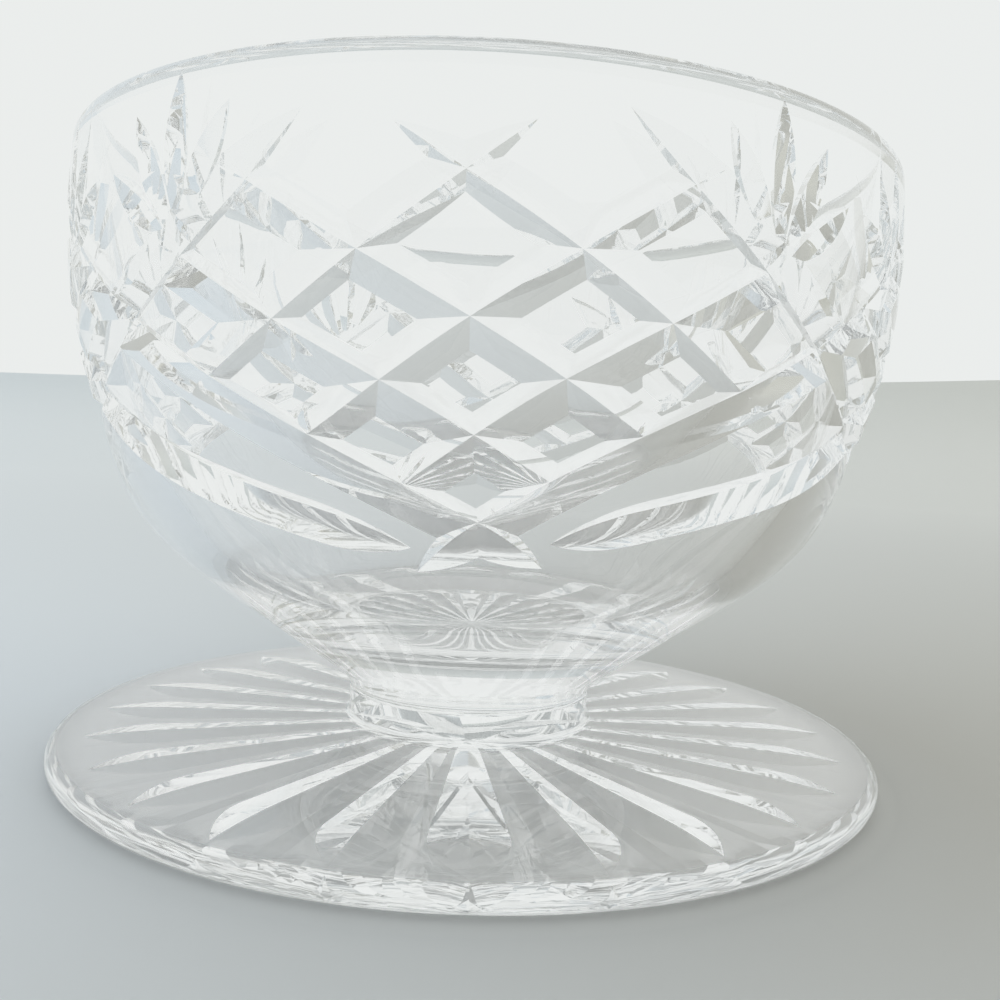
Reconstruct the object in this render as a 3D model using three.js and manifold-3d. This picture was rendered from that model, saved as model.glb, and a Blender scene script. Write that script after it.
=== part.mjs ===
// Footed dessert bowl in hand-cut clear crystal: a blown bowl, a short stem and a cast foot, welded hot.
// Millimetres, +Z up, origin on the axis at the plane the foot stands on, one diamond panel facing -Y.
import * as THREE from 'three';
import { mergeVertices } from 'three/addons/utils/BufferGeometryUtils.js';
import Module from 'manifold-3d';

const wasm = await Module();
wasm.setup();

// Overall sizes.
const height = 68.2;
const rimRadius = 47;
const footRadius = 48.5;

// Foot.
const footEdgeThickness = 2.6;
const footCrownHeight = 3.2;
const filletRadius = 1.1;

// Stem. The weld planes are where the three gathers of glass meet.
const stemRadius = 14.8;
const stemLength = 4.9;
const neckFlare = 1.4;
const flareLength = 1.4;
const creaseRise = 2.8;
const creaseDepth = 0.25;
const creaseHalfWidth = 0.3;
const footWeldHeight = footCrownHeight + filletRadius;
const bowlWeldHeight = footWeldHeight + stemLength;
const neckRadius = stemRadius + neckFlare;
const creaseHeight = footWeldHeight + creaseRise;

// Outside of the bowl: a cone on the neck, a round shoulder and a nearly upright wall. The cone is placed
// from the weld, the wall from the rim, and the curves run on smoothly from one to the other.
const coneRadius = 28.5;
const coneRise = 8.7;
const shoulderRun = 14.6;
const wallInset = 2.3;
const wallDrop = 27.4;
const wallLean = 18.6 * Math.PI / 180;
const shoulderClimb = 13.4;
const bellyClimb = 11.6;

// Inside of the bowl: a flat floor, a cone and a wall that thins towards the rounded lip.
const rimWall = 3.4;
const lipHeight = 1.9;
const floorThickness = 7.65;
const floorRadius = 17.4;
const floorTurn = 2.5;
const innerSlope = 32.7 * Math.PI / 180;
const innerConeRadius = 25.9;
const innerShoulderRun = 9.6;
const shoulderThickness = 4.3;
const shoulderDrop = 1.2;
const innerLean = 17.7 * Math.PI / 180;
const innerShoulderClimb = 11.2;
const innerBellyClimb = 11;

// Diamond panels: mitre grooves that climb to the left and to the right and cross in rows. The crossings of
// a panel spread a little in its top row and draw in further down, and the panel leans, as cut by eye.
const panelCount = 4;
const groovesPerPanel = 4;
const rowAngle = Math.PI / (panelCount * groovesPerPanel);
const topRowHeight = 58.15;
const rowDrop = 6.19;
const rowEase = 0.233;
const topSpread = 1.17 * Math.PI / 180;
const drawInPerRow = 0.89 * Math.PI / 180;
const levelRow = 2;
const rowShift = 0.44 * Math.PI / 180;
const rowLean = 0.55;
const grooveDepth = 1.9;
const grooveHalfAngle = 49 * Math.PI / 180;
const cutterLift = 0.9;
const tipLift = 0.15;
const rowsPerSection = 0.5;
const runOutSection = 0.4;

// Where a groove ends in clear glass it runs out to a point; elsewhere it dies in the groove it meets.
const pointRunOut = 1.1;
const crossRunOut = 0.25;
const crossOverrun = 0.2;

// Grooves of one panel, by their place in it: the rows of crossings where each one starts and stops.
const borderGroove = { place: 2, from: -0.8, to: 7.1, topRunOut: pointRunOut, footRunOut: pointRunOut };
const innerGrooves = [
  { place: 0, from: -crossOverrun, to: 4 + crossOverrun, topRunOut: crossRunOut, footRunOut: crossRunOut },
  {
    place: -1, from: 1 - crossOverrun, to: 5 + crossOverrun, topRunOut: crossRunOut, footRunOut: crossRunOut,
  },
];
const shortGroove = {
  place: 1, from: -0.58, to: 3 + crossOverrun, topRunOut: pointRunOut, footRunOut: crossRunOut,
};

// In every second panel this groove runs on as a second border below the neighbours: it sags on its way
// out of the panel and flattens at its foot.
const longGroove = { place: 1, from: -0.58, to: 6.95, topRunOut: pointRunOut, footRunOut: pointRunOut };
const sagStartRow = 2;
const sagEndRow = 6;
const sagDepth = 2.4;
const trailRow = 5;
const trailLift = 0.5;

// Fans of leaf cuts that spring from above the crossing next to each side vertex.
const fanAzimuth = 32 * Math.PI / 180;
const fanFootHeight = 52.3;
const leafAngles = [-53, -26.5, 0, 26.5, 53];
const leafReaches = [11.9, 13.1, 14.8, 13.1, 11.9];
const leafStart = 1.4;
const leafDepth = 1.0;
const leafHalfAngle = 56 * Math.PI / 180;
const leafSections = 6;

// Star under the foot: rays that widen evenly outwards and then run out to a point.
const rayCount = 24;
const rayTurn = 2.6 * Math.PI / 180;
const rayStart = 1.2;
const rayReach = 37;
const rayEndLength = 7.9;
const rayFill = 0.78;
const rayHalfAngle = 69 * Math.PI / 180;
const rayLift = 0.6;

// Facets round the turned shapes, and steps along their curves.
const bowlFacets = 48;
const stemFacets = 48;
const footFacets = 60;
const shoulderSteps = 7;
const bellySteps = 5;
const lipSteps = 4;
const innerBellySteps = 4;
const innerShoulderSteps = 6;
const cornerSteps = 3;
const sweepSteps = 4;
const edgeSteps = 6;
const rayEndSteps = 4;
const mergeDistance = 1e-4;

const clearGlass = { color: 0xf1f4f5, roughness: 0.03, metalness: 0 };

// Solids.
function solidOf(geometry) {
  const bare = geometry.clone();
  bare.deleteAttribute('normal');
  bare.deleteAttribute('uv');
  const merged = mergeVertices(bare, mergeDistance);
  const vertProperties = new Float32Array(merged.attributes.position.array);
  const triVerts = new Uint32Array(merged.index.array);
  return new wasm.Manifold(new wasm.Mesh({ numProp: 3, vertProperties, triVerts }));
}

function geometryOf(solid) {
  const mesh = solid.getMesh();
  const geometry = new THREE.BufferGeometry();
  geometry.setAttribute('position', new THREE.BufferAttribute(mesh.vertProperties, 3));
  geometry.setIndex(new THREE.BufferAttribute(mesh.triVerts, 1));
  geometry.computeVertexNormals();
  return geometry;
}

// Turns a profile of (radius, height) points about +Z.
function turned(profile, facets) {
  const geometry = new THREE.LatheGeometry(profile, facets);
  geometry.rotateX(Math.PI / 2);
  return geometry;
}

// Lofts a closed solid through sections of three points each.
function lofted(sections) {
  const points = sections.flat();
  const faces = [0, 1, 2];
  for (let i = 0; i + 1 < sections.length; i += 1) {
    for (let j = 0; j < 3; j += 1) {
      const a = 3 * i + j;
      const b = 3 * i + (j + 1) % 3;
      faces.push(a, a + 3, b, b, a + 3, b + 3);
    }
  }
  const last = 3 * (sections.length - 1);
  faces.push(last, last + 2, last + 1);
  const geometry = new THREE.BufferGeometry().setFromPoints(points);
  geometry.setIndex(faces);
  return geometry;
}

// A V-shaped cutter along a path. Each station has a point on the surface, the outward normal there
// and the depth of the cut, which is below zero where the cutter has left the glass.
function mitreCutter(stations, halfAngle, lift) {
  const sections = stations.map((station, i) => {
    const before = stations[Math.max(i - 1, 0)].point;
    const after = stations[Math.min(i + 1, stations.length - 1)].point;
    const along = after.clone().sub(before).normalize();
    const side = station.normal.clone().cross(along).normalize();
    const halfWidth = (station.depth + lift) * Math.tan(halfAngle);
    const top = station.point.clone().addScaledVector(station.normal, lift);
    return [
      station.point.clone().addScaledVector(station.normal, -station.depth),
      top.clone().addScaledVector(side, -halfWidth),
      top.clone().addScaledVector(side, halfWidth),
    ];
  });
  return solidOf(lofted(sections));
}

// Depth of a wheel's cut at a share of its length: nothing at the ends, deepest in the middle.
function wheelDepth(share, depth) {
  return depth - (depth + tipLift) * (2 * share - 1) ** 2;
}

// A point at a distance from another, in a direction given by its angle above the horizontal.
function carried(point, angle, distance) {
  return new THREE.Vector2(point.x + distance * Math.cos(angle), point.y + distance * Math.sin(angle));
}

// Bowl.
const neck = new THREE.Vector2(neckRadius, bowlWeldHeight);
const coneTop = new THREE.Vector2(coneRadius, bowlWeldHeight + coneRise);
const coneSlope = Math.atan2(coneTop.y - neck.y, coneTop.x - neck.x);
const wallFoot = new THREE.Vector2(rimRadius - wallInset, height - wallDrop);
const wallRise = Math.PI / 2 - wallLean;
const shoulder = new THREE.CubicBezierCurve(
  coneTop, carried(coneTop, coneSlope, shoulderRun), carried(wallFoot, wallRise, -shoulderClimb), wallFoot);
const belly = new THREE.QuadraticBezierCurve(
  wallFoot, carried(wallFoot, wallRise, bellyClimb), new THREE.Vector2(rimRadius, height - lipHeight));
const outerProfile = [
  neck,
  ...shoulder.getPoints(shoulderSteps),
  ...belly.getPoints(bellySteps).slice(1),
];

function wallAt(z) {
  let i = 1;
  while (i + 1 < outerProfile.length && outerProfile[i].y < z) {
    i += 1;
  }
  const low = outerProfile[i - 1];
  const run = outerProfile[i].clone().sub(low);
  const radius = low.x + run.x * (z - low.y) / run.y;
  return { radius, tilt: Math.atan2(-run.x, run.y) };
}

// A station on the outside of the bowl; azimuth 0 faces -Y and grows towards +X.
function wallStation(azimuth, z, depth) {
  const { radius, tilt } = wallAt(z);
  const outward = new THREE.Vector3(Math.sin(azimuth), -Math.cos(azimuth), 0);
  const point = outward.clone().multiplyScalar(radius).setZ(z);
  const normal = outward.multiplyScalar(Math.cos(tilt)).setZ(Math.sin(tilt));
  return { point, normal, depth };
}

function rowHeight(row) {
  return topRowHeight - rowDrop * row + rowEase * row * row;
}

// Angle from the middle of a panel to a crossing, by its row and its half steps from that middle.
function crossingAngle(row, halfSteps) {
  const inward = drawInPerRow * row - topSpread;
  return rowAngle * halfSteps - inward * Math.sin(Math.PI * halfSteps / groovesPerPanel);
}

function grooveDepthAt(row, span) {
  const fromTop = (row - span.from) / span.topRunOut;
  const fromFoot = (span.to - row) / span.footRunOut;
  const share = Math.min(fromTop, fromFoot, 1) / 2;
  return wheelDepth(share, grooveDepth);
}

// Rows at which a groove has a section: close together in its run-outs, evenly spread between them.
function sectionRows(span) {
  const top = span.from + span.topRunOut;
  const foot = span.to - span.footRunOut;
  const steps = Math.round((foot - top) / rowsPerSection);
  const rows = [span.from, span.from + runOutSection * span.topRunOut];
  for (let i = 0; i <= steps; i += 1) {
    rows.push(top + (foot - top) * i / steps);
  }
  rows.push(span.to - runOutSection * span.footRunOut, span.to);
  return rows;
}

// How far the second border lies above the line of its row: a sag with its lowest place a third of the way
// along, then the lift of the trail.
function trailAt(row) {
  const share = Math.min(Math.max((row - sagStartRow) / (sagEndRow - sagStartRow), 0), 1);
  const sag = sagDepth * share * (1 - share) ** 2 * 27 / 4;
  return trailLift * Math.max(row - trailRow, 0) ** 2 - sag;
}

// One groove; handed is 1 where it falls towards +X and -1 where it falls towards -X.
function groove(span, panelAzimuth, handed) {
  const stations = sectionRows(span).map((row) => {
    const halfSteps = 2 * span.place - 2 + row;
    const azimuth = panelAzimuth + handed * crossingAngle(row, halfSteps) + rowShift * (row - levelRow);
    const lean = handed * rowLean * Math.sin(Math.PI * halfSteps / groovesPerPanel);
    const trail = span === longGroove ? trailAt(row) : 0;
    return wallStation(azimuth, rowHeight(row) + lean + trail, grooveDepthAt(row, span));
  });
  return mitreCutter(stations, grooveHalfAngle, cutterLift);
}

// One leaf of a fan, cut outwards from the fan's foot.
function leaf(azimuth, angle, reach) {
  const stations = [];
  for (let i = 0; i <= leafSections; i += 1) {
    const share = i / leafSections;
    const distance = leafStart + (reach - leafStart) * share;
    const leafAzimuth = azimuth + distance * Math.sin(angle) / rimRadius;
    const z = fanFootHeight + distance * Math.cos(angle);
    stations.push(wallStation(leafAzimuth, z, wheelDepth(share, leafDepth)));
  }
  return mitreCutter(stations, leafHalfAngle, cutterLift);
}

function bowlCuts() {
  const cuts = [];
  for (let panel = 0; panel < panelCount; panel += 1) {
    const azimuth = panel * 2 * Math.PI / panelCount;
    const sideGroove = panel % 2 === 1 ? longGroove : shortGroove;
    for (const handed of [1, -1]) {
      for (const span of [borderGroove, sideGroove, ...innerGrooves]) {
        cuts.push(groove(span, azimuth, handed));
      }
      leafAngles.forEach((degrees, i) => {
        cuts.push(leaf(azimuth + handed * fanAzimuth, degrees * Math.PI / 180, leafReaches[i]));
      });
    }
  }
  return cuts;
}

function bowl() {
  const floorHeight = bowlWeldHeight + floorThickness;
  const floorEdge = new THREE.Vector2(floorRadius, floorHeight);
  const floorCorner = new THREE.Vector2(floorRadius + floorTurn, floorHeight);
  const innerConeFoot = carried(floorCorner, innerSlope, floorTurn);
  const coneLength = (innerConeRadius - innerConeFoot.x) / Math.cos(innerSlope);
  const innerConeTop = carried(innerConeFoot, innerSlope, coneLength);
  const innerShoulder = new THREE.Vector2(wallFoot.x - shoulderThickness, wallFoot.y - shoulderDrop);
  const innerRise = Math.PI / 2 - innerLean;
  const innerRim = new THREE.Vector2(rimRadius - rimWall, height - lipHeight);
  const innerWall = new THREE.QuadraticBezierCurve(
    innerRim, carried(innerShoulder, innerRise, innerBellyClimb), innerShoulder);
  const innerCurve = new THREE.CubicBezierCurve(
    innerShoulder, carried(innerShoulder, innerRise, -innerShoulderClimb),
    carried(innerConeTop, innerSlope, innerShoulderRun), innerConeTop);
  const corner = new THREE.QuadraticBezierCurve(innerConeFoot, floorCorner, floorEdge);
  const lip = new THREE.EllipseCurve(
    rimRadius - rimWall / 2, height - lipHeight, rimWall / 2, lipHeight, 0, Math.PI);
  const profile = [
    new THREE.Vector2(0, bowlWeldHeight),
    ...outerProfile.slice(0, -1),
    ...lip.getPoints(lipSteps),
    ...innerWall.getPoints(innerBellySteps).slice(1),
    ...innerCurve.getPoints(innerShoulderSteps).slice(1),
    ...corner.getPoints(cornerSteps),
    new THREE.Vector2(0, floorHeight),
  ];
  const blank = solidOf(turned(profile, bowlFacets));
  return geometryOf(bowlCuts().reduce((glass, cut) => glass.subtract(cut), blank));
}

// Stem.
function stem() {
  const sweep = new THREE.QuadraticBezierCurve(
    new THREE.Vector2(stemRadius, creaseHeight + creaseHalfWidth),
    new THREE.Vector2(stemRadius, bowlWeldHeight - flareLength),
    new THREE.Vector2(neckRadius, bowlWeldHeight));
  const profile = [
    new THREE.Vector2(0, footWeldHeight),
    new THREE.Vector2(stemRadius, footWeldHeight),
    new THREE.Vector2(stemRadius, creaseHeight - creaseHalfWidth),
    new THREE.Vector2(stemRadius - creaseDepth, creaseHeight),
    ...sweep.getPoints(sweepSteps),
    new THREE.Vector2(0, bowlWeldHeight),
  ];
  return turned(profile, stemFacets);
}

// Foot.
function starRay(azimuth) {
  const outward = new THREE.Vector3(Math.sin(azimuth), -Math.cos(azimuth), 0);
  const normal = new THREE.Vector3(0, 0, -1);
  const halfWidthShare = Math.tan(rayFill * Math.PI / rayCount);
  const depthAt = (radius) => radius * halfWidthShare / Math.tan(rayHalfAngle);
  const station = (radius, depth) => ({ point: outward.clone().multiplyScalar(radius), normal, depth });
  const stations = [station(rayStart, depthAt(rayStart)), station(rayReach, depthAt(rayReach))];
  for (let i = 1; i <= rayEndSteps; i += 1) {
    const share = i / rayEndSteps;
    const depth = wheelDepth((1 + share) / 2, depthAt(rayReach));
    stations.push(station(rayReach + rayEndLength * share, depth));
  }
  return mitreCutter(stations, rayHalfAngle, rayLift);
}

function foot() {
  const edgeRadius = footEdgeThickness / 2;
  const edge = new THREE.EllipseCurve(
    footRadius - edgeRadius, edgeRadius, edgeRadius, edgeRadius, -Math.PI / 2, Math.PI / 2);
  const fillet = new THREE.QuadraticBezierCurve(
    new THREE.Vector2(stemRadius + filletRadius, footCrownHeight),
    new THREE.Vector2(stemRadius, footCrownHeight),
    new THREE.Vector2(stemRadius, footWeldHeight));
  const profile = [
    new THREE.Vector2(0, 0),
    ...edge.getPoints(edgeSteps),
    ...fillet.getPoints(sweepSteps),
    new THREE.Vector2(0, footWeldHeight),
  ];
  let glass = solidOf(turned(profile, footFacets));
  for (let ray = 0; ray < rayCount; ray += 1) {
    glass = glass.subtract(starRay(rayTurn + ray * 2 * Math.PI / rayCount));
  }
  return geometryOf(glass);
}

// Assembly.
function piece(name, geometry) {
  const mesh = new THREE.Mesh(geometry, new THREE.MeshStandardMaterial(clearGlass));
  mesh.name = name;
  return mesh;
}

const dessertBowl = new THREE.Group();
dessertBowl.add(piece('bowl', bowl()), piece('stem', stem()), piece('foot', foot()));

export default dessertBowl;
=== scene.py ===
# %% [markdown]
# # A footed dessert bowl in cut crystal
# The real object is three gathers of lead crystal welded hot: a blown bowl, a short stem and a cast foot.
# A cutter then ground V-shaped mitre grooves and leaf-shaped fans into the cold bowl, and a star into the
# underside of the foot. This lesson follows the same order: turn the blanks on the axis, cut them with
# wheels, give them a clear polished finish, and light them plainly.

# %% Load the frame
import math

import bpy
from mathutils import Matrix, Vector


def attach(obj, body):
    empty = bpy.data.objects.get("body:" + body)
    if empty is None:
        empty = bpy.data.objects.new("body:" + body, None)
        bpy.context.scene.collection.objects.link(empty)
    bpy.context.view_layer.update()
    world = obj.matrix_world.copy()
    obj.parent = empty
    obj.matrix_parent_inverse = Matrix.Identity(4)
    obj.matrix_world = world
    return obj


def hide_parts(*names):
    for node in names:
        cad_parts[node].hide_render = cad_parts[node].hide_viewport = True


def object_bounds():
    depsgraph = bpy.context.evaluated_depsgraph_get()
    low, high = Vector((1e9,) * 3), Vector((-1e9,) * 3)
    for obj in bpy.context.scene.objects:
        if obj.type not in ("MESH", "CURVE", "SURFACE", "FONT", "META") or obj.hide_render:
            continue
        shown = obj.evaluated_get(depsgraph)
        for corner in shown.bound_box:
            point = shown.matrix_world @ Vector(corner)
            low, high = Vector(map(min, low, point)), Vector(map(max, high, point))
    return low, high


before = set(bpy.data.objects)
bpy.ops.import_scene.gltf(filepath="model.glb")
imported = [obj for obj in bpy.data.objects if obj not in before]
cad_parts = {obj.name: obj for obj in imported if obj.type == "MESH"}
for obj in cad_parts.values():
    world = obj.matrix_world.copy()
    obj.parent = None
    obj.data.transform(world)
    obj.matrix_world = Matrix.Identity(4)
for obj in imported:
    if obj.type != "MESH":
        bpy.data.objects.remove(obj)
cad_box = [list(corner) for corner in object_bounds()]
mm = 0.001
print("frame nodes:", sorted(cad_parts), "box:", cad_box)

# %% [markdown]
# ## Camera
# The camera comes first, because every later choice is judged through it. The bowl was seen from close by,
# with the lens a little below the rim, so the near rim shows its underside while the foot is seen from above.
# The distance and the angles were found by fitting the rim, the foot and the outline. A 36 mm sensor makes
# the focal length easy to read, and the near clip has to come down, since the lens is only 12 cm away.

# %% Set the camera
lens_azimuth = math.radians(1.6)
lens_distance = 124.43 * mm
lens_height = 37.2 * mm
lens_yaw = math.radians(1.297)
lens_pitch = math.radians(-3.26)
lens_roll = math.radians(2.686)
sensor_width = 36.0
focal_share = 1.00315
near_clip = 2 * mm

camera_data = bpy.data.cameras.new("lens")
camera_data.sensor_width = sensor_width
camera_data.lens = sensor_width * focal_share
camera_data.clip_start = near_clip
camera = bpy.data.objects.new("lens", camera_data)
bpy.context.scene.collection.objects.link(camera)
turn = (
    Matrix.Rotation(lens_azimuth - lens_yaw, 4, "Z")
    @ Matrix.Rotation(math.pi / 2 + lens_pitch, 4, "X")
    @ Matrix.Rotation(lens_roll, 4, "Z")
)
stand = Matrix.Rotation(lens_azimuth, 4, "Z") @ Vector((0, -lens_distance, lens_height))
camera.matrix_world = Matrix.Translation(stand) @ turn
bpy.context.scene.camera = camera
print("camera at", [round(c, 4) for c in stand])

# %% [markdown]
# ## Helpers for turning a blank
# A round blank is a profile turned about the axis. By hand one would start from a single vertex, extrude it
# from point to point along the half outline, and spin the line. The helper does just that: a plane is merged
# into one vertex, which is extruded along the profile, and Spin sweeps it round. The doubles at the seam and
# on the axis are merged, and the normals are recalculated because Spin doesn't know the inside.

# %% Helpers: curves of a profile
def bezier(controls, count):
    """Points along a curve that is pulled by its inner control points."""
    points = []
    for i in range(count + 1):
        share = i / count
        row = [Vector(c) for c in controls]
        while len(row) > 1:
            row = [a.lerp(b, share) for a, b in zip(row, row[1:])]
        points.append(row[0])
    return points


def arc(centre, radius, start, stop, count):
    """Points on a circle in the profile plane, by angle from the outward direction."""
    angles = [start + (stop - start) * i / count for i in range(count + 1)]
    return [Vector(centre) + radius * Vector((math.cos(a), math.sin(a))) for a in angles]


def carried(point, angle, distance):
    """A profile point at a distance from another, in a direction given by its angle above the horizontal."""
    return Vector(point) + distance * Vector((math.cos(angle), math.sin(angle)))


# %% Helpers: turning and smoothing
merge_distance = 0.0005 * mm
sharp_angle = math.radians(16)


def start_piece(name):
    """A new object with a single vertex at the origin, left in edit mode with the vertex selected."""
    bpy.ops.object.select_all(action="DESELECT")
    bpy.ops.mesh.primitive_plane_add(size=mm)
    piece = bpy.context.object
    piece.name = name
    piece.data.name = name
    bpy.ops.object.mode_set(mode="EDIT")
    bpy.ops.mesh.select_all(action="SELECT")
    bpy.ops.mesh.merge(type="CENTER")
    return piece


def turn_blank(name, profile, steps):
    """Extrudes a vertex along the profile of (radius, height) points and spins the line about Z."""
    piece = start_piece(name)
    places = [Vector((p[0], 0, p[1])) for p in profile]
    bpy.ops.transform.translate(value=places[0])
    for before, after in zip(places, places[1:]):
        bpy.ops.mesh.extrude_region_move(TRANSFORM_OT_translate={"value": after - before})
    bpy.ops.mesh.select_all(action="SELECT")
    bpy.ops.mesh.spin(steps=steps, angle=2 * math.pi, center=(0, 0, 0), axis=(0, 0, 1))
    bpy.ops.mesh.select_all(action="SELECT")
    bpy.ops.mesh.remove_doubles(threshold=merge_distance)
    bpy.ops.mesh.normals_make_consistent(inside=False)
    bpy.ops.object.mode_set(mode="OBJECT")
    return piece


def polish(piece):
    """Smooth shading that keeps every cut edge crisp."""
    bpy.ops.object.select_all(action="DESELECT")
    piece.select_set(True)
    bpy.context.view_layer.objects.active = piece
    bpy.ops.object.shade_smooth_by_angle(angle=sharp_angle)


# %% [markdown]
# ## The bowl's blank
# The bowl leaves the stem as a cone, turns over a round shoulder and climbs almost upright to the rim. The
# inside has a small flat floor and a wall that thins towards the lip, which is ground round. Each stretch is
# a curve between named points, so the thickness of the glass can be read from the numbers.

# %% Draw the outside of the bowl
height = cad_box[1][2]
rim_radius = 47 * mm
rim_wall = 3.4 * mm
lip_height = 1.9 * mm
neck_radius = 16.2 * mm
bowl_weld = 9.2 * mm
cone_run = 12.3 * mm
cone_rise = 8.7 * mm
wall_inset = 2.3 * mm
wall_drop = 27.4 * mm
wall_rise = math.radians(90 - 18.6)
cone_pull = 14.6 * mm
shoulder_pull = 13.4 * mm
wall_pull = 11.6 * mm

neck = Vector((neck_radius, bowl_weld))
cone_top = neck + Vector((cone_run, cone_rise))
cone_slope = math.atan2(cone_rise, cone_run)
wall_foot = Vector((rim_radius - wall_inset, height - wall_drop))
lip_centre = Vector((rim_radius - rim_wall / 2, height - lip_height))
outer_profile = (
    bezier([neck, cone_top], 12)
    + bezier([cone_top, carried(cone_top, cone_slope, cone_pull),
              carried(wall_foot, wall_rise, -shoulder_pull), wall_foot], 48)[1:]
    + bezier([wall_foot, carried(wall_foot, wall_rise, wall_pull), (rim_radius, lip_centre[1])], 32)[1:]
)
print("outside of the bowl:", len(outer_profile), "points")

# %% Draw the inside of the bowl
floor_thickness = 7.65 * mm
floor_radius = 17.4 * mm
floor_turn = 2.5 * mm
inner_slope = math.radians(32.7)
inner_rise = math.radians(90 - 17.7)
inner_cone_radius = 25.9 * mm
inner_inset = 4.3 * mm
inner_drop = 1.2 * mm
inner_wall_pull = 11 * mm
inner_shoulder_pull = 11.2 * mm
inner_cone_pull = 9.6 * mm

floor_edge = Vector((floor_radius, bowl_weld + floor_thickness))
floor_corner = floor_edge + Vector((floor_turn, 0))
inner_cone_foot = carried(floor_corner, inner_slope, floor_turn)
inner_cone_top = carried(
    inner_cone_foot, inner_slope, (inner_cone_radius - inner_cone_foot[0]) / math.cos(inner_slope))
inner_shoulder = wall_foot - Vector((inner_inset, inner_drop))
inner_profile = (
    bezier([(rim_radius - rim_wall, lip_centre[1]), carried(inner_shoulder, inner_rise, inner_wall_pull),
            inner_shoulder], 30)
    + bezier([inner_shoulder, carried(inner_shoulder, inner_rise, -inner_shoulder_pull),
              carried(inner_cone_top, inner_slope, inner_cone_pull), inner_cone_top], 48)[1:]
    + bezier([inner_cone_top, inner_cone_foot], 6)[1:]
    + bezier([inner_cone_foot, floor_corner, floor_edge], 12)[1:]
    + bezier([floor_edge, (0, floor_edge[1])], 6)[1:]
)
print("inside of the bowl:", len(inner_profile), "points")

# %% Turn the bowl
bowl_steps = 256
lip = [Vector((x, lip_centre[1] + (y - lip_centre[1]) * lip_height / (rim_wall / 2)))
       for x, y in arc(lip_centre, rim_wall / 2, 0, math.pi, 14)]
bowl_profile = [(0, bowl_weld), (0.5 * neck_radius, bowl_weld)] + outer_profile + lip[1:-1] + inner_profile
bowl = turn_blank("crystal_bowl", bowl_profile, bowl_steps)
print("bowl blank:", len(bowl.data.polygons), "faces")

# %% [markdown]
# ## Cutting wheels
# A mitre groove is what is left where a V-edged wheel has run along the wall. The tool here is a three-sided
# bar, drawn out in equal steps, whose rings are then carried to their stations on the wall: one corner goes
# below the surface by the depth of the cut, the other two stay above it. A Boolean takes the bar's shape out
# of the glass, which keeps the facets flat and the edges crisp, as no displacement could.

# %% Helpers: stations on the wall
cutter_lift = 0.9 * mm
tip_lift = 0.15 * mm


def wall_station(azimuth, z, depth):
    """A point on the outside of the bowl, its outward normal and the depth of the cut there."""
    index = 1
    while index + 1 < len(outer_profile) and outer_profile[index][1] < z:
        index += 1
    low, high = outer_profile[index - 1], outer_profile[index]
    run = high - low
    radius = low[0] + run[0] * (z - low[1]) / run[1]
    tilt = math.atan2(-run[0], run[1])
    outward = Vector((math.sin(azimuth), -math.cos(azimuth), 0))
    point = outward * radius + Vector((0, 0, z))
    normal = outward * math.cos(tilt) + Vector((0, 0, math.sin(tilt)))
    return point, normal, depth


def wheel_depth(share, depth):
    """How deep a round wheel cuts at a share of its cut: nothing at the ends, deepest in the middle."""
    return depth - (depth + tip_lift) * (2 * share - 1) ** 2


# %% Helpers: wheels
def draw_bar(name, steps):
    """A three-sided bar along X, one unit long for each step, with its cutting corner at Y 1."""
    bpy.ops.object.select_all(action="DESELECT")
    bpy.ops.mesh.primitive_circle_add(vertices=3, radius=1, fill_type="NGON", rotation=(0, math.pi / 2, 0))
    bar = bpy.context.object
    bar.name = name
    bpy.ops.object.transform_apply(location=True, rotation=True, scale=True)
    bpy.ops.object.mode_set(mode="EDIT")
    bpy.ops.mesh.select_all(action="SELECT")
    for _ in range(steps):
        bpy.ops.mesh.extrude_region_move(TRANSFORM_OT_translate={"value": (1, 0, 0)})
    bpy.ops.object.mode_set(mode="OBJECT")
    return bar


def mitre_cutter(name, stations, half_angle, lift):
    """Carries the rings of a bar to the stations, so that it becomes the space a V-edged wheel takes out."""
    bar = draw_bar(name, len(stations) - 1)
    for vertex in bar.data.vertices:
        ring = round(vertex.co.x)
        point, normal, depth = stations[ring]
        before = stations[max(ring - 1, 0)][0]
        after = stations[min(ring + 1, len(stations) - 1)][0]
        side = normal.cross(after - before).normalized()
        half_width = (depth + lift) * math.tan(half_angle)
        if vertex.co.y > 0.5:
            vertex.co = point - normal * depth
        else:
            hand = 1 if vertex.co.z > 0 else -1
            vertex.co = point + normal * lift + side * half_width * hand
    bpy.ops.object.mode_set(mode="EDIT")
    bpy.ops.mesh.select_all(action="SELECT")
    bpy.ops.mesh.normals_make_consistent(inside=False)
    bpy.ops.object.mode_set(mode="OBJECT")
    return bar


# %% Helpers: copying and cutting
def join_cutters(cutters, name):
    """Joins cutters that don't meet into one tool."""
    bpy.ops.object.select_all(action="DESELECT")
    for cutter in cutters:
        cutter.select_set(True)
    bpy.context.view_layer.objects.active = cutters[0]
    bpy.ops.object.join()
    cutters[0].name = name
    return cutters[0]


def repeat_round(cutter, count, places):
    """A cutter turned round the axis to some of a count of equal places, each copy with its own mesh."""
    copies = []
    for place in places:
        copy = cutter.copy()
        copy.data = cutter.data.copy()
        copy.data.transform(Matrix.Rotation(2 * math.pi * place / count, 4, "Z"))
        bpy.context.scene.collection.objects.link(copy)
        copies.append(copy)
    bpy.data.objects.remove(cutter, do_unlink=True)
    return copies


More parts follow.
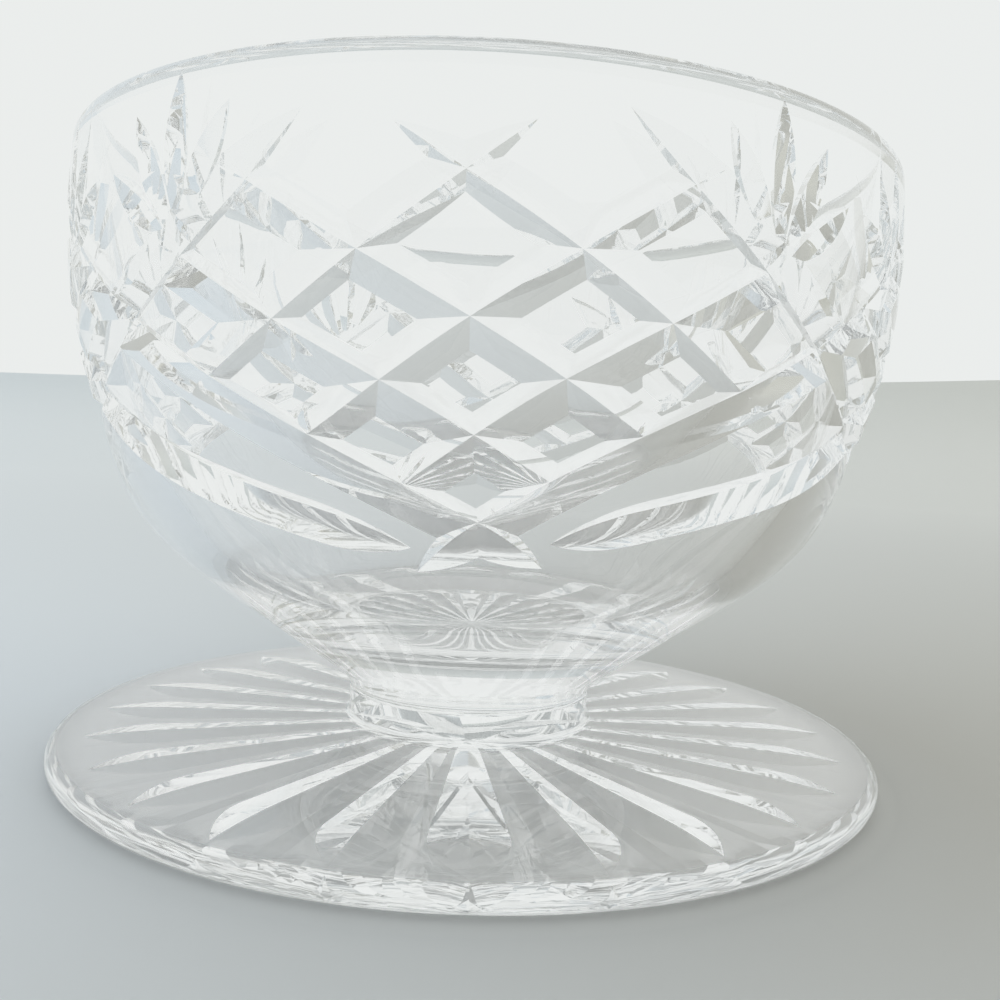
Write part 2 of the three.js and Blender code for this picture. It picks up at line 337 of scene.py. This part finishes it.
def cut(piece, tool):
    """Takes the tool's shape out of the piece and deletes the tool."""
    bpy.ops.object.select_all(action="DESELECT")
    piece.select_set(True)
    bpy.context.view_layer.objects.active = piece
    bpy.ops.object.modifier_add(type="BOOLEAN")
    modifier = piece.modifiers[-1]
    modifier.operation = "DIFFERENCE"
    modifier.solver = "MANIFOLD"
    modifier.object = tool
    bpy.ops.object.modifier_apply(modifier=modifier.name)
    bpy.data.objects.remove(tool, do_unlink=True)


# %% [markdown]
# ## Diamond panels
# Four panels of diamonds go round the bowl. Their grooves climb to the left and to the right and cross in
# rows that get closer towards the foot, as the bowl narrows. The top row is spread a little, the lower
# crossings draw in towards the middle of the panel, and the whole panel leans slightly, as cutting by eye
# leaves it. Some grooves end in clear glass and run out to a point, the others die in the groove they meet.
# In every second panel one groove sags and runs on, as a second border under the neighbouring panels. One
# groove of each kind is made once and copied round.

# %% Measures of the diamond panels
panel_count = 4
grooves_per_panel = 4
row_angle = math.pi / (panel_count * grooves_per_panel)
top_row = 58.15 * mm
row_drop = 6.19 * mm
row_ease = 0.233 * mm
top_spread = math.radians(1.17)
draw_in_per_row = math.radians(0.89)
level_row = 2
row_shift = math.radians(0.44)
row_lean = 0.55 * mm
groove_depth = 1.9 * mm
groove_half_angle = math.radians(49)
point_run_out = 1.1
cross_run_out = 0.25
cross_overrun = 0.2
sag_rows = (2, 6)
sag_depth = 2.4 * mm
sag_peak = 27 / 4
trail_row = 5
trail_lift = 0.5 * mm
groove_steps_per_row = 8
every_panel = [0, 1, 2, 3]
odd_panels, even_panels = [1, 3], [0, 2]
groove_spans = [
    (2, -0.8, 7.1, point_run_out, point_run_out, 0, every_panel),
    (1, -0.58, 3 + cross_overrun, point_run_out, cross_run_out, 0, even_panels),
    (1, -0.58, 6.95, point_run_out, point_run_out, 1, odd_panels),
    (0, -cross_overrun, 4 + cross_overrun, cross_run_out, cross_run_out, 0, every_panel),
    (-1, 1 - cross_overrun, 5 + cross_overrun, cross_run_out, cross_run_out, 0, every_panel),
]


# %% Helpers: the lines of the diamonds
def row_height(row):
    return top_row - row_drop * row + row_ease * row * row


def crossing_angle(row, half_steps):
    """Angle from the middle of a panel to a crossing, by its row and its half steps from that middle."""
    inward = draw_in_per_row * row - top_spread
    return row_angle * half_steps - inward * math.sin(math.pi * half_steps / grooves_per_panel)


def trail_at(row):
    """How far the second border lies above the line of its row: it sags first and lifts at its foot."""
    share = min(max((row - sag_rows[0]) / (sag_rows[1] - sag_rows[0]), 0), 1)
    return trail_lift * max(row - trail_row, 0) ** 2 - sag_depth * share * (1 - share) ** 2 * sag_peak


def groove(span, handed):
    """One groove of the front panel, falling to the right where handed is 1 and to the left where it is -1."""
    place, first, last, top_run, foot_run, trails = span[:6]
    steps = round((last - first) * groove_steps_per_row)
    stations = []
    for i in range(steps + 1):
        row = first + (last - first) * i / steps
        share = min((row - first) / top_run, (last - row) / foot_run, 1) / 2
        half_steps = 2 * place - 2 + row
        azimuth = handed * crossing_angle(row, half_steps) + row_shift * (row - level_row)
        lean = handed * row_lean * math.sin(math.pi * half_steps / grooves_per_panel)
        z = row_height(row) + lean + trails * trail_at(row)
        stations.append(wall_station(azimuth, z, wheel_depth(share, groove_depth)))
    return mitre_cutter("groove", stations, groove_half_angle, cutter_lift)


# %% Cut the grooves
for handed in (1, -1):
    cutters = []
    for span in groove_spans:
        cutters += repeat_round(groove(span, handed), panel_count, span[6])
    cut(bowl, join_cutters(cutters, "groove_wheel"))
print("bowl with diamonds:", len(bowl.data.polygons), "faces")

# %% [markdown]
# ## Leaf fans
# Beside each panel a fan of five leaves springs from the crossing next to the side corner. A leaf is a short
# plunge of the wheel, deepest in its middle and pointed at both ends.

# %% Cut the leaf fans
fan_azimuth = math.radians(32)
fan_foot = 52.3 * mm
leaves = [(-53, 11.9), (-26.5, 13.1), (0, 14.8), (26.5, 13.1), (53, 11.9)]
leaf_start = 1.4 * mm
leaf_depth = 1.0 * mm
leaf_half_angle = math.radians(56)
leaf_steps = 24


def leaf(foot_azimuth, angle, reach):
    stations = []
    for i in range(leaf_steps + 1):
        share = i / leaf_steps
        distance = leaf_start + (reach - leaf_start) * share
        azimuth = foot_azimuth + distance * math.sin(angle) / rim_radius
        z = fan_foot + distance * math.cos(angle)
        stations.append(wall_station(azimuth, z, wheel_depth(share, leaf_depth)))
    return mitre_cutter("leaf", stations, leaf_half_angle, cutter_lift)


for handed in (1, -1):
    for degrees, reach in leaves:
        blade = leaf(handed * fan_azimuth, math.radians(degrees), reach * mm)
        cut(bowl, join_cutters(repeat_round(blade, panel_count, every_panel), "leaf_wheel"))
polish(bowl)
print("bowl with fans:", len(bowl.data.polygons), "faces")

# %% [markdown]
# ## Stem
# The stem is a short collar between two welds. A fine crease half way up is where the two gathers met, and
# above it the collar swells into the bowl.

# %% Turn the stem
stem_radius = 14.8 * mm
foot_weld = 4.3 * mm
crease_height = foot_weld + 2.8 * mm
crease_depth = 0.25 * mm
crease_half_width = 0.3 * mm
flare_height = 1.4 * mm
stem_steps = 192
crease_low = (stem_radius, crease_height - crease_half_width)
crease_high = (stem_radius, crease_height + crease_half_width)
stem_profile = [(0, foot_weld), (0.5 * stem_radius, foot_weld)]
stem_profile += bezier([(stem_radius, foot_weld), crease_low], 6)
stem_profile += bezier([crease_low, (stem_radius - 2 * crease_depth, crease_height), crease_high], 8)[1:]
stem_profile += bezier([crease_high, (stem_radius, bowl_weld - flare_height), (neck_radius, bowl_weld)], 12)[1:]
stem_profile += [(0.5 * neck_radius, bowl_weld), (0, bowl_weld)]
stem = turn_blank("crystal_stem", stem_profile, stem_steps)
polish(stem)
print("stem:", len(stem.data.polygons), "faces")

# %% [markdown]
# ## Foot and star
# The foot is a cast disc with a round edge, a little thicker towards the stem and swept up into it. Its
# underside carries a star: wide, shallow V rays that start near the middle and widen evenly, so that each
# takes up about four fifths of its share of the circle, and then run out to a point. The plain ring outside
# the star is what it stands on.

# %% Turn the foot
foot_radius = cad_box[1][0]
edge_radius = 1.3 * mm
crown_height = 3.2 * mm
fillet_radius = 1.1 * mm
foot_steps = 256
edge = arc((foot_radius - edge_radius, edge_radius), edge_radius, -math.pi / 2, math.pi / 2, 20)
crown = bezier([edge[-1], (stem_radius + fillet_radius, crown_height)], 20)
fillet = bezier(
    [(stem_radius + fillet_radius, crown_height), (stem_radius, crown_height), (stem_radius, foot_weld)], 10)
foot_profile = [(0, 0), (0.5 * foot_radius, 0)] + edge + crown[1:] + fillet[1:]
foot_profile += [(0.5 * stem_radius, foot_weld), (0, foot_weld)]
foot = turn_blank("crystal_foot", foot_profile, foot_steps)
print("foot blank:", len(foot.data.polygons), "faces")

# %% Cut the star
ray_count = 24
ray_turn = math.radians(2.6)
ray_start = 1.2 * mm
ray_reach = 37 * mm
ray_end = 7.9 * mm
ray_fill = 0.78
ray_half_angle = math.radians(69)
ray_lift = 0.02 * mm
ray_steps = 8
ray_end_steps = 6
ray_slope = math.tan(ray_fill * math.pi / ray_count) / math.tan(ray_half_angle)


def star_ray():
    down = Vector((0, 0, -1))
    outward = Vector((math.sin(ray_turn), -math.cos(ray_turn), 0))
    stations = []
    for i in range(ray_steps + 1):
        radius = ray_start + (ray_reach - ray_start) * i / ray_steps
        stations.append((outward * radius, down, radius * ray_slope))
    for i in range(1, ray_end_steps + 1):
        share = i / ray_end_steps
        depth = ray_reach * ray_slope * (1 - share ** 2) - 0.5 * ray_lift * share
        stations.append((outward * (ray_reach + ray_end * share), down, depth))
    return mitre_cutter("ray", stations, ray_half_angle, ray_lift)


cut(foot, join_cutters(repeat_round(star_ray(), ray_count, range(ray_count)), "star_wheel"))
polish(foot)
print("foot with star:", len(foot.data.polygons), "faces")

# %% [markdown]
# ## Clear crystal
# Lead crystal bends light more than window glass, so its index is 1.54. The polish isn't perfect: the surface
# carries a very slight waviness from the fire and the acid, and the faintest dulling. Shadow rays pass
# straight through, so that light reaches the table through the glass. Where two pieces are welded there is
# no surface at all, so those faces get a finish that nothing sees.

# %% Make the uneven polish
def add_node(tree, kind, **values):
    node = tree.nodes.new(kind)
    for name, value in values.items():
        setattr(node, name, value)
    return node


def make_uneven_polish():
    """The slow waves and the faint dulling that polishing leaves on glass, for every kind of crystal."""
    group = bpy.data.node_groups.new("uneven_polish", "ShaderNodeTree")
    for label in ("Wave Scale", "Haze Scale", "Least Rough", "Most Rough"):
        group.interface.new_socket(label, in_out="INPUT", socket_type="NodeSocketFloat")
    for label in ("Roughness", "Height"):
        group.interface.new_socket(label, in_out="OUTPUT", socket_type="NodeSocketFloat")
    given = add_node(group, "NodeGroupInput")
    result = add_node(group, "NodeGroupOutput")
    place = add_node(group, "ShaderNodeTexCoord")
    wave = add_node(group, "ShaderNodeTexNoise")
    haze = add_node(group, "ShaderNodeTexNoise")
    spread = add_node(group, "ShaderNodeMapRange")
    group.links.new(place.outputs["Object"], wave.inputs["Vector"])
    group.links.new(place.outputs["Object"], haze.inputs["Vector"])
    group.links.new(given.outputs["Wave Scale"], wave.inputs["Scale"])
    group.links.new(given.outputs["Haze Scale"], haze.inputs["Scale"])
    group.links.new(haze.outputs["Fac"], spread.inputs["Value"])
    group.links.new(given.outputs["Least Rough"], spread.inputs["To Min"])
    group.links.new(given.outputs["Most Rough"], spread.inputs["To Max"])
    group.links.new(spread.outputs[0], result.inputs["Roughness"])
    group.links.new(wave.outputs["Fac"], result.inputs["Height"])
    return group


uneven_polish = make_uneven_polish()

# %% Helpers: clear crystal and welds
crystal_index = 1.54
haze_scale = 120
wave_height = 0.1 * mm


def crystal(name, wave_scale, wave_strength, most_rough):
    """Clear polished crystal with a slight waviness and uneven polish."""
    material = bpy.data.materials.new(name)
    material.use_nodes = True
    tree = material.node_tree
    tree.nodes.clear()
    out = add_node(tree, "ShaderNodeOutputMaterial")
    glass = add_node(tree, "ShaderNodeBsdfPrincipled")
    glass.inputs["Base Color"].default_value = (1, 1, 1, 1)
    glass.inputs["Transmission Weight"].default_value = 1
    glass.inputs["IOR"].default_value = crystal_index
    clear = add_node(tree, "ShaderNodeBsdfTransparent")
    path = add_node(tree, "ShaderNodeLightPath")
    mix = add_node(tree, "ShaderNodeMixShader")
    tree.links.new(path.outputs["Is Shadow Ray"], mix.inputs[0])
    tree.links.new(glass.outputs[0], mix.inputs[1])
    tree.links.new(clear.outputs[0], mix.inputs[2])
    tree.links.new(mix.outputs[0], out.inputs["Surface"])
    polish_marks = add_node(tree, "ShaderNodeGroup", node_tree=uneven_polish)
    polish_marks.inputs["Wave Scale"].default_value = wave_scale
    polish_marks.inputs["Haze Scale"].default_value = haze_scale
    polish_marks.inputs["Least Rough"].default_value = 0
    polish_marks.inputs["Most Rough"].default_value = most_rough
    bump = add_node(tree, "ShaderNodeBump")
    bump.inputs["Strength"].default_value = wave_strength
    bump.inputs["Distance"].default_value = wave_height
    tree.links.new(polish_marks.outputs["Roughness"], glass.inputs["Roughness"])
    tree.links.new(polish_marks.outputs["Height"], bump.inputs["Height"])
    tree.links.new(bump.outputs[0], glass.inputs["Normal"])
    return material


def weld_finish():
    """Nothing at all: the glass goes on through the weld."""
    material = bpy.data.materials.new("weld")
    material.use_nodes = True
    tree = material.node_tree
    tree.nodes.clear()
    out = add_node(tree, "ShaderNodeOutputMaterial")
    clear = add_node(tree, "ShaderNodeBsdfTransparent")
    tree.links.new(clear.outputs[0], out.inputs["Surface"])
    return material


# %% Finish the pieces
flat_enough = 0.999
weld_reach = 0.01 * mm


def finish_piece(piece, material, weld_heights):
    """Gives the piece its crystal, and its weld faces the finish that nothing sees."""
    piece.data.materials.clear()
    piece.data.materials.append(material)
    piece.data.materials.append(weld)
    count = 0
    for face in piece.data.polygons:
        flat = abs(face.normal.z) > flat_enough
        welded = flat and any(abs(face.center.z - z) < weld_reach for z in weld_heights)
        face.material_index = 1 if welded else 0
        count += welded
    print(piece.name, "weld faces:", count)


weld = weld_finish()
finish_piece(bowl, crystal("crystal_cut", 60, 0.02, 0.012), [bowl_weld])
finish_piece(stem, crystal("crystal_drawn", 90, 0.03, 0.012), [foot_weld, bowl_weld])
finish_piece(foot, crystal("crystal_cast", 70, 0.03, 0.015), [foot_weld])

# %% [markdown]
# ## Table, wall and light
# The bowl stands on a pale grey table that runs back and turns up to a white wall. The table is a disc with a
# raised edge, so it closes the view from every side, and the wall is the world itself. Light is painted into
# its colour: it is paler and cooler on the left than on the right, as painted light falling from the left, so
# two colour ramps by distance are mixed from left to right, and both are paler right beneath the foot, as a
# painted pool of light. The foot looks brighter than one lying flat on a table would, so the table also glows
# faintly beneath it as painted light, only where it is seen, which puts no more light on the bowl.

# %% Turn the table
table_radius = 1.0
table_bend = 0.75
table_steps = 96
edge_height = 110 * mm
edge_slope = 0.039
edge_sink = 7 * mm
table_top = -0.3 * mm
table_profile = [(0, table_top), (0.05, table_top), (0.15, table_top), (0.4, table_top)]
table_profile += bezier([(table_bend, table_top), (table_radius, table_top), (table_radius, edge_height)], 24)
table = turn_blank("table", table_profile, table_steps)
for vertex in table.data.vertices:
    rise = (vertex.co.z - table_top) / (edge_height - table_top)
    vertex.co.z += rise * (edge_slope * vertex.co.x - edge_sink)
polish(table)
print("table:", len(table.data.polygons), "faces")

# %% Paint the table
# Each ramp starts with a painted pool of light under the foot, then has the tone at the foot's edge and the
# tone at the raised edge.
tone_places = (44.5 * mm, foot_radius, table_radius)
# The left ramp is the lit side and the right ramp the shaded side: painted light falling from the left.
lit_side_greys = (0.94, 0.82, 0.87)
lit_side_tint = (0.934, 1.0, 1.056)
shaded_side_greys = (0.92, 0.51, 0.73)
shaded_side_tint = (1.01, 1.0, 0.926)
side_blend = 60 * mm
foot_glow = 0.08
paint = bpy.data.materials.new("table_grey_painted_light")
paint.use_nodes = True
tree = paint.node_tree
shade = tree.nodes["Principled BSDF"]
shade.inputs["Roughness"].default_value = 0.6
shade.inputs["Specular IOR Level"].default_value = 0.2
place = add_node(tree, "ShaderNodeTexCoord")
length = add_node(tree, "ShaderNodeVectorMath", operation="LENGTH")
ramps = []
for greys, tint in ((lit_side_greys, lit_side_tint), (shaded_side_greys, shaded_side_tint)):
    ramp = add_node(tree, "ShaderNodeValToRGB")
    ramp.color_ramp.elements.new(0.5)
    for stop, distance, grey in zip(ramp.color_ramp.elements, tone_places, greys):
        stop.position = distance
        stop.color = [grey * share for share in tint] + [1]
    tree.links.new(length.outputs["Value"], ramp.inputs["Fac"])
    ramps.append(ramp)
apart = add_node(tree, "ShaderNodeSeparateXYZ")
reach = add_node(tree, "ShaderNodeMath", operation="MAXIMUM")
reach.inputs[1].default_value = side_blend
side = add_node(tree, "ShaderNodeMath", operation="DIVIDE")
share = add_node(tree, "ShaderNodeMapRange")
share.inputs["From Min"].default_value = -1
shaded = add_node(tree, "ShaderNodeMix", data_type="RGBA")
tree.links.new(place.outputs["Object"], length.inputs[0])
tree.links.new(place.outputs["Object"], apart.inputs[0])
tree.links.new(length.outputs["Value"], reach.inputs[0])
tree.links.new(apart.outputs["X"], side.inputs[0])
tree.links.new(reach.outputs[0], side.inputs[1])
tree.links.new(side.outputs[0], share.inputs["Value"])
tree.links.new(share.outputs[0], shaded.inputs["Factor"])
tree.links.new(ramps[0].outputs["Color"], shaded.inputs["A"])
tree.links.new(ramps[1].outputs["Color"], shaded.inputs["B"])
tree.links.new(shaded.outputs["Result"], shade.inputs["Base Color"])
# %% Let the table glow under the foot
# Painted light: the table glows under the foot for camera, glossy and transmission rays, in place of light
# reaching it there.
glow = add_node(tree, "ShaderNodeMapRange")
glow.inputs["From Min"].default_value = tone_places[0]
glow.inputs["From Max"].default_value = tone_places[1]
glow.inputs["To Min"].default_value = foot_glow
glow.inputs["To Max"].default_value = 0
shade.inputs["Emission Strength"].default_value = 1
path = add_node(tree, "ShaderNodeLightPath")
mirrored = add_node(tree, "ShaderNodeMath", operation="MAXIMUM")
seen = add_node(tree, "ShaderNodeMath", operation="MAXIMUM")
faint = add_node(tree, "ShaderNodeMath", operation="MULTIPLY")
tree.links.new(path.outputs["Is Camera Ray"], mirrored.inputs[0])
tree.links.new(path.outputs["Is Glossy Ray"], mirrored.inputs[1])
tree.links.new(mirrored.outputs[0], seen.inputs[0])
tree.links.new(path.outputs["Is Transmission Ray"], seen.inputs[1])
tree.links.new(length.outputs["Value"], glow.inputs["Value"])
tree.links.new(glow.outputs[0], faint.inputs[0])
tree.links.new(seen.outputs[0], faint.inputs[1])
tree.links.new(faint.outputs[0], shade.inputs["Emission Color"])
paint.cycles.emission_sampling = "NONE"
table.data.materials.append(paint)
print("table painted")

# %% [markdown]
# ## Light
# Clear glass shows its surroundings more than itself, so an even white room is all the light it needs. Light
# passes many faces of the cuts before it leaves the glass, and each counts as a bounce. With too few of them
# some facets turn black, so the limits are raised.

# %% Light the scene
world = bpy.data.worlds.new("white_room")
bpy.context.scene.world = world
world.use_nodes = True
background = world.node_tree.nodes["Background"]
wall_colour = (0.83, 0.85, 0.84, 1)
background.inputs["Color"].default_value = wall_colour
background.inputs["Strength"].default_value = 1.0

scene = bpy.context.scene
scene.view_settings.view_transform = "Standard"
bounces = 64
scene.cycles.max_bounces = bounces
scene.cycles.transmission_bounces = bounces
scene.cycles.glossy_bounces = bounces
scene.cycles.transparent_max_bounces = bounces
print("light set")

# %% [markdown]
# ## Ride on the frame
# Each finished piece takes the place of its plain solid and stays with it. Nothing on this object moves, so
# all three ride on the one body.

# %% Ride on the frame
for piece, node in ((bowl, "bowl"), (stem, "stem"), (foot, "foot")):
    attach(piece, "root")
    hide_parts(node)
